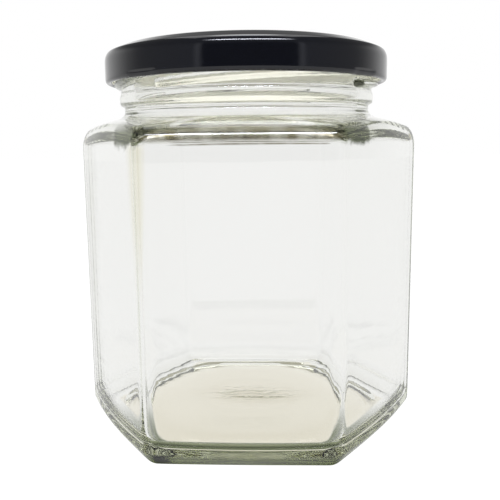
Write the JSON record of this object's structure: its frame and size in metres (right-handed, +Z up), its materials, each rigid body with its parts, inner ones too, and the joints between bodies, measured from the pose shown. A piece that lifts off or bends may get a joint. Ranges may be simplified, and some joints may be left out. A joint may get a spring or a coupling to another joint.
{
  "type": "hexagonal glass jar with twist-off lid",
  "caption": "Empty clear glass jar with a six-sided body, round threaded neck and wide mouth, closed by a gloss black metal twist-off lid.",
  "frame": {"origin": "centre of the jar's foot, on the surface it stands on", "axes": "+Z up through the middle of the mouth and lid; -Y square out of one flat face; two of the six upright edges lie over the X axis"},
  "size_m": [0.0884, 0.0804, 0.098],
  "materials": {
    "clear_glass": "clear, smooth moulded glass, faintly green-grey, with a dotted texture on the ring it stands on",
    "black_lacquer": "gloss black lacquer on pressed tinplate"
  },
  "bodies": {
    "root": {"glass_jar": "clear_glass", "lid": "black_lacquer"}
  },
  "joints": []
}
